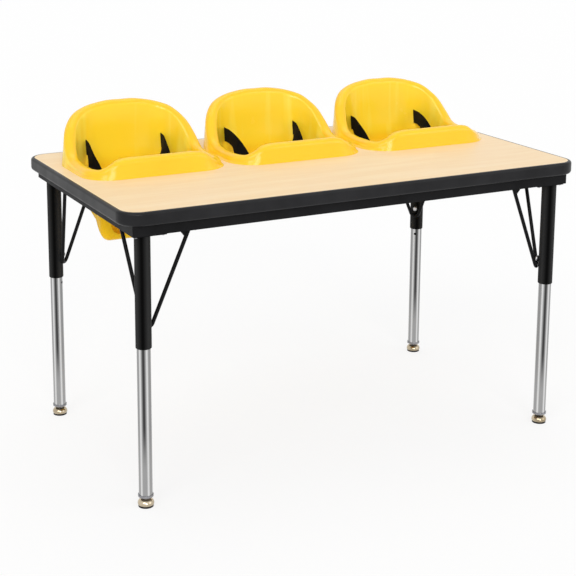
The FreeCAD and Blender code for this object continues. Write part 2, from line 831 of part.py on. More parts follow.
def main():
    os.makedirs("parts", exist_ok=True)
    core = top_layer(core_low, top_thickness - laminate_thickness).cut(tongue_ring())
    save("tabletop_core", core)
    save("top_laminate", top_layer(top_z - laminate_thickness, laminate_thickness))
    save("edge_band", make_edge())
    make_rails()
    make_seats()
    make_legs()


main()
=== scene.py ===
"""Looks of a three-seat toddler feeding table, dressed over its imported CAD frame. Metres, Z up."""

import logging
import math
from abc import ABC, abstractmethod
from collections.abc import Iterable
from dataclasses import dataclass
from enum import Enum

import bmesh
import bpy
from mathutils import Matrix, Vector


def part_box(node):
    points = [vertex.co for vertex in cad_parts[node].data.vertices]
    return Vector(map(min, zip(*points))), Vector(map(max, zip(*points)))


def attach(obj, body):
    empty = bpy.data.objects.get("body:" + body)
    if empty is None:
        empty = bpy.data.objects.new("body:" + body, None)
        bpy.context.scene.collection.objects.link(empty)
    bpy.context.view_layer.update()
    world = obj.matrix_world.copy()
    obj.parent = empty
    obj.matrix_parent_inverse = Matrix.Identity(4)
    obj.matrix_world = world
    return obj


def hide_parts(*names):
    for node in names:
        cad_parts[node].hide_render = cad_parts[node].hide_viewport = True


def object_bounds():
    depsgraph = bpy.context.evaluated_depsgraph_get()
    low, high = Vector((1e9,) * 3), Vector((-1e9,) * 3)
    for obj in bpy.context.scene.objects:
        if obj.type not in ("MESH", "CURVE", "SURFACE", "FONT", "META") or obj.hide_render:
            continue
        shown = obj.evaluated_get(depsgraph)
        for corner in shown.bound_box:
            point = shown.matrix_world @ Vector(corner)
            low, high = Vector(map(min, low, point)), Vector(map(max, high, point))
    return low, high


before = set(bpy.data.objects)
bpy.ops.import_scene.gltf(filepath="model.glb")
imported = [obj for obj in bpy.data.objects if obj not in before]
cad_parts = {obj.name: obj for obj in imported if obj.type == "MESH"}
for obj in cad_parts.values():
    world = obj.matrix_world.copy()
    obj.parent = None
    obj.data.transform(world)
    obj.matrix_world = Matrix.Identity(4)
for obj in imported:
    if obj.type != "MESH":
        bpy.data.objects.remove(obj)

LOG = logging.getLogger("feeding_table")
ROOT_BODY = "table"
CAD_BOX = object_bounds()

NOISE_SPAN = (0.3, 0.7)  # where most values of a noise pattern lie
WAVE_RADIANS = 20.0  # radians a unit that a wave texture turns at scale 1
WHITE = (1.0, 1.0, 1.0, 1.0)

Span = tuple[float, float]
Triple = tuple[float, float, float]
Colour = Triple
Faces = list[tuple[int, ...]]
Socket = bpy.types.NodeSocket


class Corner(Enum):
    """The four legs, by the table's corner."""

    FRONT_LEFT = "front_left"
    FRONT_RIGHT = "front_right"
    BACK_RIGHT = "back_right"
    BACK_LEFT = "back_left"


class Place(Enum):
    """The three seats, with how far along the table each one sits, in seat pitches."""

    LEFT = ("left", -1)
    MIDDLE = ("middle", 0)
    RIGHT = ("right", 1)

    @property
    def word(self) -> str:
        """Name used in the frame's nodes."""
        return self.value[0]

    @property
    def step(self) -> int:
        """Seat pitches from the middle of the table."""
        return self.value[1]


class Route(Enum):
    """How a lap strap lies between its slot and its buckle: shares across, forward, down, and of the turn."""

    STRAIGHT = (
        (0.02, 0.12, 0.03, 0.0), (0.08, 0.28, 0.18, 0.1), (0.20, 0.45, 0.43, 0.35),
        (0.40, 0.65, 0.72, 0.7), (0.62, 0.82, 0.90, 0.95), (0.85, 0.96, 0.98, 1.0),
    )
    DROPPED = (
        (0.01, 0.14, 0.06, 0.0), (0.05, 0.30, 0.26, 0.1), (0.12, 0.46, 0.50, 0.35),
        (0.32, 0.66, 0.76, 0.7), (0.58, 0.83, 0.91, 0.95), (0.85, 0.96, 0.98, 1.0),
    )
    BOWED = (
        (0.02, 0.22, 0.02, 0.0), (0.06, 0.48, 0.10, 0.05), (0.14, 0.72, 0.30, 0.25),
        (0.34, 0.94, 0.62, 0.6), (0.60, 1.02, 0.86, 0.9), (0.85, 1.0, 0.97, 1.0),
    )


STRAP_ROUTES: dict[Place, tuple[Route, Route]] = {
    Place.LEFT: (Route.DROPPED, Route.STRAIGHT),
    Place.MIDDLE: (Route.BOWED, Route.STRAIGHT),
    Place.RIGHT: (Route.STRAIGHT, Route.BOWED),
}


@dataclass(frozen=True)
class Grain:
    """A pattern of noise: stretch along X, Y and Z, cells to a metre, octaves and strength of the fine."""

    stretch: Triple = (1.0, 1.0, 1.0)
    cells: float = 1.0
    octaves: float = 2.0
    fine: float = 0.5


@dataclass(frozen=True)
class Relief:
    """Bumps on a surface: their height in metres and how strongly they show."""

    height: float
    strength: float


class Nodes:
    """A node tree with short calls to add nodes and join them."""

    def __init__(self, tree: bpy.types.NodeTree) -> None:
        """Keeps the node tree of a material or the world."""
        self.tree = tree

    def add(self, kind: str, **settings: object) -> bpy.types.Node:
        """Adds one node.

        Args:
            kind: Blender's name of the node type.
            settings: Properties to set on the node.

        Returns:
            The new node.
        """
        node = self.tree.nodes.new(kind)
        for key, value in settings.items():
            setattr(node, key, value)
        return node

    def link(self, output: Socket, target: Socket) -> None:
        """Joins an output to an input."""
        self.tree.links.new(output, target)

    @staticmethod
    def put(node: bpy.types.Node, **values: object) -> None:
        """Sets inputs of a node, named with a low line for each space."""
        for name, value in values.items():
            node.inputs[name.replace("_", " ")].default_value = value

    def maths(self, operation: str, first: Socket, second: Socket) -> Socket:
        """Works out one value from two.

        Args:
            operation: Blender's name of the operation.
            first: First value.
            second: Second value.

        Returns:
            The result.
        """
        node = self.add("ShaderNodeMath", operation=operation)
        self.link(first, node.inputs[0])
        self.link(second, node.inputs[1])
        return node.outputs["Value"]

    def seen_directly(self) -> Socket:
        """Rays that show the background: from the camera, a reflection or through glass.

        Returns:
            1 for such a ray, otherwise 0.
        """
        rays = self.add("ShaderNodeLightPath").outputs
        seen = self.maths("MAXIMUM", rays["Is Camera Ray"], rays["Is Glossy Ray"])
        return self.maths("MAXIMUM", seen, rays["Is Transmission Ray"])


class NodeGraph(Nodes):
    """A new material's node tree with calls for the patterns and blends that the finishes share."""

    def __init__(self, name: str) -> None:
        """Starts a material.

        Args:
            name: The material's name.
        """
        self.material = bpy.data.materials.new(name)
        self.material.use_nodes = True
        super().__init__(self.material.node_tree)
        self.shader = self.tree.nodes["Principled BSDF"]
        self.places = self.add("ShaderNodeTexCoord").outputs

    def axes(self, source: str) -> bpy.types.NodeOutputs:
        """Splits one output of the coordinate node.

        Args:
            source: Name of the output.

        Returns:
            Its X, Y and Z.
        """
        node = self.add("ShaderNodeSeparateXYZ")
        self.link(self.places[source], node.inputs["Vector"])
        return node.outputs

    def stretched(self, scale: Triple) -> Socket:
        """The piece's own coordinates, scaled.

        Args:
            scale: Factors along X, Y and Z.

        Returns:
            The scaled vector.
        """
        node = self.add("ShaderNodeMapping")
        self.put(node, Scale=scale)
        self.link(self.places["Object"], node.inputs["Vector"])
        return node.outputs["Vector"]

    def grain(self, pattern: Grain) -> Socket:
        """Value of a pattern of noise.

        Args:
            pattern: The pattern.

        Returns:
            Its value, mostly within NOISE_SPAN.
        """
        node = self.add("ShaderNodeTexNoise")
        self.put(node, Scale=pattern.cells, Detail=pattern.octaves, Roughness=pattern.fine)
        self.link(self.stretched(pattern.stretch), node.inputs["Vector"])
        return node.outputs["Fac"]

    def ramp(self, value: Socket, levels: Iterable[float], colours: Iterable[Colour]) -> Socket:
        """Colours picked by a value.

        Args:
            value: Where to read the ramp.
            levels: Values at which the colours stand.
            colours: Linear colours.

        Returns:
            The colour.
        """
        node = self.add("ShaderNodeValToRGB")
        elements = node.color_ramp.elements
        stops = list(zip(levels, colours))
        while len(elements) < len(stops):
            elements.new(0.5)
        for element, (level, colour) in zip(elements, stops):
            element.position = level
            element.color = (*colour, 1.0)
        self.link(value, node.inputs["Fac"])
        return node.outputs["Color"]

    def remap(self, value: Socket, span: Span) -> Socket:
        """Maps the span in which noise lies onto another.

        Args:
            value: The value to map.
            span: Results at the two ends of NOISE_SPAN.

        Returns:
            The mapped value.
        """
        node = self.add("ShaderNodeMapRange")
        self.put(node, From_Min=NOISE_SPAN[0], From_Max=NOISE_SPAN[1], To_Min=span[0], To_Max=span[1])
        self.link(value, node.inputs["Value"])
        return node.outputs["Result"]

    def eased(self, value: Socket, span: Span) -> Socket:
        """Eases from 0 at one level of a value to 1 at another.

        Args:
            value: The value to read.
            span: Levels for 0 and for 1.

        Returns:
            The eased value.
        """
        node = self.add("ShaderNodeMapRange", interpolation_type="SMOOTHSTEP")
        self.put(node, From_Min=span[0], From_Max=span[1])
        self.link(value, node.inputs["Value"])
        return node.outputs["Result"]

    def mix(self, share: Socket, first: Socket, second: Socket) -> Socket:
        """Blends two colours.

        Args:
            share: How much of the second colour.
            first: First colour.
            second: Second colour.

        Returns:
            The blended colour.
        """
        node = self.add("ShaderNodeMix", data_type="RGBA")
        self.link(share, node.inputs["Factor"])
        self.link(first, node.inputs["A"])
        self.link(second, node.inputs["B"])
        return node.outputs["Result"]

    def bump(self, height: Socket, relief: Relief) -> None:
        """Adds relief to the surface.

        Args:
            height: Pattern from 0 to 1.
            relief: How high it is and how strongly it shows.
        """
        node = self.add("ShaderNodeBump")
        self.put(node, Distance=relief.height, Strength=relief.strength)
        self.link(height, node.inputs["Height"])
        self.link(node.outputs["Normal"], self.shader.inputs["Normal"])

    def surface(self, **values: object) -> None:
        """Sets constant values of the shader, such as Metallic or Coat_Weight."""
        self.put(self.shader, **values)

    def colour(self, socket: Socket) -> None:
        """Uses a colour as the surface's own."""
        self.link(socket, self.shader.inputs["Base Color"])

    def roughness(self, socket: Socket) -> None:
        """Uses a value as the surface's roughness."""
        self.link(socket, self.shader.inputs["Roughness"])


@dataclass(frozen=True)
class Finish(ABC):
    """What pieces are made of."""

    name: str

    @abstractmethod
    def paint(self, g: NodeGraph) -> None:
        """Adds the finish to a new material's nodes."""

    def make(self) -> bpy.types.Material:
        """Builds the material.

        Returns:
            The material.
        """
        g = NodeGraph(self.name)
        self.paint(g)
        return g.material


@dataclass(frozen=True)
class Laminate(Finish):
    """Pale maple laminate: long soft figure and fine pores along the table."""

    name: str = "maple_laminate"
    pale: Colour = (0.93, 0.735, 0.475)
    warm: Colour = (0.885, 0.655, 0.385)
    dark: Colour = (0.80, 0.565, 0.315)
    figure: Grain = Grain((1.1, 9.0, 9.0), 2.6, 4.0, 0.55)
    figure_levels: Triple = (0.32, 0.55, 0.78)
    streaks: Grain = Grain((3.0, 150.0, 150.0), 1.6, 5.0, 0.62)
    streak_levels: Triple = (0.36, 0.52, 0.70)
    streak_share: Span = (0.18, 0.42)
    pores: Grain = Grain((22.0, 900.0, 900.0))
    rough: Span = (0.40, 0.50)
    relief: Relief = Relief(0.00003, 0.25)

    def paint(self, g: NodeGraph) -> None:
        """Lays streaks and pores over the soft figure.

        Args:
            g: The material's nodes.
        """
        streaks, pores = g.grain(self.streaks), g.grain(self.pores)
        figure = g.ramp(g.grain(self.figure), self.figure_levels, (self.pale, self.warm, self.pale))
        lines = g.ramp(streaks, self.streak_levels, (self.warm, self.pale, self.dark))
        g.colour(g.mix(g.remap(pores, self.streak_share), figure, lines))
        g.roughness(g.remap(streaks, self.rough))
        g.bump(pores, self.relief)
        g.surface(Specular_IOR_Level=0.35, Coat_Weight=0.12, Coat_Roughness=0.35)


@dataclass(frozen=True)
class SatinCoat(Finish):
    """Moulded plastic or paint with a fine grain, a little paler where it is worn."""

    name: str = "moulded_edge"
    deep: Colour = (0.0095, 0.0095, 0.0105)
    worn: Colour = (0.017, 0.017, 0.0185)
    grain: Grain = Grain(cells=900.0)
    relief: Relief = Relief(0.00012, 0.35)
    rough: Span = (0.32, 0.46)
    shine: float = 0.16
    wear: Grain = Grain(cells=14.0, octaves=4.0)
    wear_levels: Span = (0.3, 0.72)

    def tint(self, g: NodeGraph) -> Socket:
        """Colour of the coat."""
        return g.ramp(g.grain(self.wear), self.wear_levels, (self.deep, self.worn))

    def paint(self, g: NodeGraph) -> None:
        """Tints the coat and gives it its grain.

        Args:
            g: The material's nodes.
        """
        g.colour(self.tint(g))
        g.roughness(g.remap(g.grain(self.wear), self.rough))
        g.bump(g.grain(self.grain), self.relief)
        g.surface(Specular_IOR_Level=self.shine)


@dataclass(frozen=True)
class PlatedMetal(Finish):
    """Plated metal with faint drawn lines along Z and small changes of gloss."""

    name: str = "plated_metal"
    light: Colour = (0.80, 0.80, 0.815)
    dull: Colour = (0.70, 0.70, 0.715)
    rough: Span = (0.07, 0.15)
    relief: Relief = Relief(0.00001, 0.2)
    cloud: Grain = Grain(cells=30.0, octaves=4.0)
    lines: Grain = Grain((900.0, 900.0, 6.0))

    def tint(self, g: NodeGraph) -> Socket:
        """Colour of the plating."""
        return g.ramp(g.grain(self.cloud), NOISE_SPAN, (self.dull, self.light))

    def paint(self, g: NodeGraph) -> None:
        """Tints the metal and draws its lines.

        Args:
            g: The material's nodes.
        """
        g.colour(self.tint(g))
        g.roughness(g.remap(g.grain(self.cloud), self.rough))
        g.bump(g.grain(self.lines), self.relief)
        g.surface(Metallic=1.0)


@dataclass(frozen=True)
class PaintedReflectionBands:
    """Painted reflection: soft light and dark bands up an upright tube, alike on both sides of the way they
    face. Angles in degrees.
    """

    tones: tuple[Span, ...]
    # Way the painted dark middle of the reflection faces, in degrees.
    facing: float = -117.0
    repeat: float = 120.0

    def way_round(self, g: NodeGraph) -> Socket:
        """Way round the tube, from how its own surface faces.

        Args:
            g: The material's nodes.

        Returns:
            0 to 1 for each repeat, 0.5 where the bands face.
        """
        faces = g.axes("Normal")
        share = g.add("ShaderNodeMath", operation="MULTIPLY_ADD")
        g.link(g.maths("ARCTAN2", faces["Y"], faces["X"]), share.inputs[0])
        share.inputs[1].default_value = 1 / math.radians(self.repeat)
        share.inputs[2].default_value = 0.5 - self.facing / self.repeat
        wrap = g.add("ShaderNodeMath", operation="FRACT")
        g.link(share.outputs["Value"], wrap.inputs[0])
        return wrap.outputs["Value"]

    def tint(self, g: NodeGraph, least: float = 0.0) -> Socket:
        """Grey of the painted reflection bands.

        Args:
            g: The material's nodes.
            least: The darkest tone to show.

        Returns:
            The colour.
        """
        sides = [(-away, tone) for away, tone in self.tones[:0:-1]] + list(self.tones)
        return g.ramp(self.way_round(g), [0.5 + away for away, _ in sides],
                      [(max(tone, least),) * 3 for _, tone in sides])


@dataclass(frozen=True)
class BrightTube(PlatedMetal):
    """Chrome-plated tube: painted reflection bands run up it, and their darkest ones are painted paler
    towards the floor end.
    """

    name: str = "chrome_tube"
    rough: Span = (0.08, 0.16)
    painted_reflection: PaintedReflectionBands = PaintedReflectionBands(((0.0, 0.05), (0.05, 0.06), (0.13, 0.30), (0.25, 0.80), (0.37, 0.32), (0.5, 0.28)))
    # Heights up to which the painted reflection's dark cores are painted paler, as a painted reflection of
    # the floor.
    floor_reflection_heights: Span = (0.08, 0.20)
    floor_reflection_core: float = 0.36

    def tint(self, g: NodeGraph) -> Socket:
        """Painted reflection bands, with paler painted cores low down.

        Args:
            g: The material's nodes.

        Returns:
            The colour.
        """
        upwards = g.eased(g.axes("Object")["Z"], self.floor_reflection_heights)
        return g.mix(upwards, self.painted_reflection.tint(g, self.floor_reflection_core), self.painted_reflection.tint(g))


@dataclass(frozen=True)
class SleeveCoat(SatinCoat):
    """Satin black coat of the sleeves, with painted reflection: soft pale bands either side of a dark middle
    run up the tube.
    """

    name: str = "sleeve_coat"
    grain: Grain = Grain(cells=1400.0)
    relief: Relief = Relief(0.00008, 0.3)
    rough: Span = (0.34, 0.46)
    shine: float = 0.02
    # Painted reflection: a dark middle with paler flanks, by the way the surface faces.
    painted_reflection: PaintedReflectionBands = PaintedReflectionBands(((0.0, 0.002), (0.06, 0.003), (0.20, 0.015), (0.35, 0.03), (0.5, 0.025)))

    def tint(self, g: NodeGraph) -> Socket:
        """Colour of the painted reflection bands."""
        return self.painted_reflection.tint(g)


@dataclass(frozen=True)
class SeatPlastic(Finish):
    """Yellow moulded plastic: warm on the lips, with painted light on the steep backrest walls (a paler tone
    and pale streaks of painted highlight), dull below the table.
    """

    name: str = "yellow_seat_plastic"
    bright: Colour = (0.965, 0.585, 0.016)
    deep: Colour = (0.935, 0.550, 0.012)
    # back and pale are painted light: paler tones for the steep backrest walls than for the lips.
    back: Colour = (0.970, 0.680, 0.025)
    pale: Colour = (0.985, 0.770, 0.080)
    flow: Grain = Grain(cells=7.0, octaves=4.0, fine=0.55)
    flow_levels: Span = (0.30, 0.70)
    # Pale streaks on the backrest walls are painted highlights.
    streaks: Grain = Grain((24.0, 24.0, 2.0), octaves=3.0)
    streak_levels: Span = (0.50, 0.66)
    peel: Grain = Grain(cells=260.0)
    relief: Relief = Relief(0.00010, 0.18)
    rough: Span = (0.20, 0.28)
    shine: Span = (0.06, 0.32)
    coat: Span = (0.0, 0.2)
    gloss_heights: Span = (0.66, 0.70)
    # Where the painted light on the backrest begins: depth back, and how steeply the faces stand.
    painted_light_depths: Span = (0.01, 0.04)
    painted_light_normals: Span = (0.55, 0.20)

    def paint(self, g: NodeGraph) -> None:
        """Paints light on the steep backrest walls, apart from the lips, and glosses what stands above the
        table.

        Args:
            g: The material's nodes.
        """
        flow, at = g.grain(self.flow), g.axes("Object")
        lips = g.ramp(flow, self.flow_levels, (self.deep, self.bright))
        # Painted light: paler backrest walls with streaks of painted highlight.
        painted_lit_walls = g.ramp(g.grain(self.streaks), self.streak_levels, (self.back, self.pale))
        above = g.eased(at["Z"], self.gloss_heights)
        # Painted light mask: high up, towards the back and on steep faces.
        painted_light_behind = g.maths("MULTIPLY", above, g.eased(at["Y"], self.painted_light_depths))
        painted_light_steep = g.eased(g.axes("Normal")["Z"], self.painted_light_normals)
        g.colour(g.mix(g.maths("MULTIPLY", painted_light_behind, painted_light_steep), lips, painted_lit_walls))
        g.roughness(g.remap(flow, self.rough))
        g.bump(g.grain(self.peel), self.relief)
        g.link(g.remap(above, self.shine), g.shader.inputs["Specular IOR Level"])
        g.link(g.remap(above, self.coat), g.shader.inputs["Coat Weight"])
        g.surface(Coat_Roughness=0.09, Subsurface_Weight=0.06, Subsurface_Scale=0.004)


@dataclass(frozen=True)
class Webbing(Finish):
    """Black nylon webbing: ribs along the strap crossed by fine weft, dull with a faint sheen."""

    name: str = "strap_webbing"
    yarn: Colour = (0.008, 0.0075, 0.0075)
    gap: Colour = (0.003, 0.003, 0.003)
    weave_levels: Span = (0.15, 0.75)
    rib: float = 0.0022
    weft: float = 0.0012
    waver: float = 0.4
    fuzz: Grain = Grain(cells=900.0, octaves=3.0)
    rough: Span = (0.62, 0.82)
    relief: Relief = Relief(0.0004, 0.7)

    def paint(self, g: NodeGraph) -> None:
        """Crosses the ribs with the weft.

        Args:
            g: The material's nodes.
        """
        weave = g.maths("MULTIPLY", self.stripes(g, "Y", self.rib), self.stripes(g, "X", self.weft))
        g.colour(g.ramp(weave, self.weave_levels, (self.gap, self.yarn)))
        g.roughness(g.remap(g.grain(self.fuzz), self.rough))
        g.bump(weave, self.relief)
        g.surface(Sheen_Weight=0.02, Sheen_Roughness=0.5, Specular_IOR_Level=0.08)

    def stripes(self, g: NodeGraph, axis: str, pitch: float) -> Socket:
        """Even stripes along one direction of the strap's own coordinates.

        Args:
            g: The material's nodes.
            axis: X along the strap, Y across it.
            pitch: Stripe width in metres.

        Returns:
            Stripe height from 0 to 1.
        """
        wave = g.add("ShaderNodeTexWave", bands_direction=axis)
        g.put(wave, Scale=math.tau / (WAVE_RADIANS * pitch), Distortion=self.waver)
        g.link(g.places["UV"], wave.inputs["Vector"])
        return wave.outputs["Fac"]


@dataclass(frozen=True)
class ChipBoard(Finish):
    """Brown backing of the top, seen only from below: pressed chips under a dull sheet."""

    name: str = "top_backing"
    pale: Colour = (0.34, 0.235, 0.14)
    dark: Colour = (0.20, 0.13, 0.075)
    chips: float = 240.0
    chip_stretch: Triple = (0.5, 1.0, 1.0)
    chip_levels: Span = (0.1, 0.8)
    cloud: Grain = Grain(cells=60.0, octaves=4.0)
    rough: Span = (0.6, 0.8)
    relief: Relief = Relief(0.0002, 0.3)

    def paint(self, g: NodeGraph) -> None:
        """Blends the chips with a cloudy tone.

        Args:
            g: The material's nodes.
        """
        chips, cloud = g.add("ShaderNodeTexVoronoi"), g.grain(self.cloud)
        g.put(chips, Scale=self.chips)
        g.link(g.stretched(self.chip_stretch), chips.inputs["Vector"])
        pressed = g.ramp(chips.outputs["Distance"], self.chip_levels, (self.pale, self.dark))
        sheet = g.ramp(cloud, NOISE_SPAN, (self.dark, self.pale))
        g.colour(g.mix(cloud, pressed, sheet))
        g.roughness(g.remap(cloud, self.rough))
        g.bump(cloud, self.relief)


@dataclass(frozen=True)
class StudioFloor(Finish):
    """Pale floor that shows white to the camera and keeps a soft shadow of the table."""

    name: str = "studio_floor"
    pale: Colour = (0.90, 0.90, 0.90)
    white_share: float = 0.76
    glow: float = 1.02

    def paint(self, g: NodeGraph) -> None:
        """Mixes a white glow into the floor where it is seen directly.

        Args:
            g: The material's nodes.
        """
        g.surface(Base_Color=(*self.pale, 1.0), Roughness=0.85, Specular_IOR_Level=0.1)
        glow = g.add("ShaderNodeEmission")
        g.put(glow, Color=WHITE, Strength=self.glow)
        share = g.add("ShaderNodeMath", operation="MULTIPLY")
        g.link(g.seen_directly(), share.inputs[0])
        share.inputs[1].default_value = self.white_share
        mix = g.add("ShaderNodeMixShader")
        g.link(share.outputs["Value"], mix.inputs["Fac"])
        g.link(g.shader.outputs["BSDF"], mix.inputs[1])
        g.link(glow.outputs["Emission"], mix.inputs[2])
        g.link(mix.outputs["Shader"], g.tree.nodes["Material Output"].inputs["Surface"])


def wear(obj: bpy.types.Object, material: bpy.types.Material) -> None:
    """Gives every slot of a frame object one material, without touching its mesh.

    Args:
        obj: The frame's object.
        material: What it is made of.
    """
    for slot in obj.material_slots:
        slot.link = "OBJECT"
        slot.material = material


def mesh_piece(name: str, vertices: list[Vector], faces: Faces, material: bpy.types.Material,
               smooth_degrees: float = 40.0) -> bpy.types.Object:
    """A new object from vertices and faces, shaded smooth up to an angle.

    Args:
        name: Name of the piece.
        vertices: Places in metres.
        faces: Vertex numbers of each face.
        material: What it is made of.
        smooth_degrees: Edges sharper than this stay crisp.

    Returns:
        The linked object.
    """
    mesh = bpy.data.meshes.new(name)
    mesh.from_pydata([tuple(v) for v in vertices], [], faces)
    mesh.validate()
    mesh.materials.append(material)
    obj = bpy.data.objects.new(name, mesh)
    bpy.context.scene.collection.objects.link(obj)
    shade(mesh, smooth_degrees)
    return obj


def shade(mesh: bpy.types.Mesh, smooth_degrees: float) -> None:
    """Smooth shading with crisp edges above an angle, and faces turned outwards.

    Args:
        mesh: The mesh to shade.
        smooth_degrees: Edges sharper than this stay crisp.
    """
    edit = bmesh.new()
    edit.from_mesh(mesh)
    bmesh.ops.recalc_face_normals(edit, faces=edit.faces)
    for face in edit.faces:
        face.smooth = True
    limit = math.radians(smooth_degrees)
    for edge in edit.edges:
        edge.smooth = len(edge.link_faces) == 2 and edge.calc_face_angle(0.0) < limit
    edit.to_mesh(mesh)
    edit.free()


def curve_through(points: list[Vector], per_span: int, closed: bool) -> list[Vector]:
    """A smooth curve through points.

    Args:
        points: Places to pass through.
        per_span: New points for each span.
        closed: Whether the last point joins the first.

    Returns:
        Points along the curve.
    """
    count = len(points)

    def at(i: int) -> Vector:
        """Point i, round the loop or held at the ends."""
        return points[i % count] if closed else points[min(max(i, 0), count - 1)]

    result = []
    for i in range(count if closed else count - 1):
        a, b, c, d = at(i - 1), at(i), at(i + 1), at(i + 2)
        for k in range(per_span):
            t = k / per_span
            result.append(0.5 * (2 * b + (c - a) * t + (2 * a - 5 * b + 4 * c - d) * t ** 2
                                 + (3 * b - a - 3 * c + d) * t ** 3))
    return result if closed else result + [points[-1].copy()]


def along(table: tuple[Span, ...], share: float) -> float:
    """Value at a share of the way along a table of shares.

    Args:
        table: Pairs of share and value.
        share: Where to read it.

    Returns:
        The value there.
    """
    for (a, va), (b, vb) in zip(table, table[1:]):
        if share <= b:
            return va + (vb - va) * (share - a) / (b - a)
    return table[-1][1]


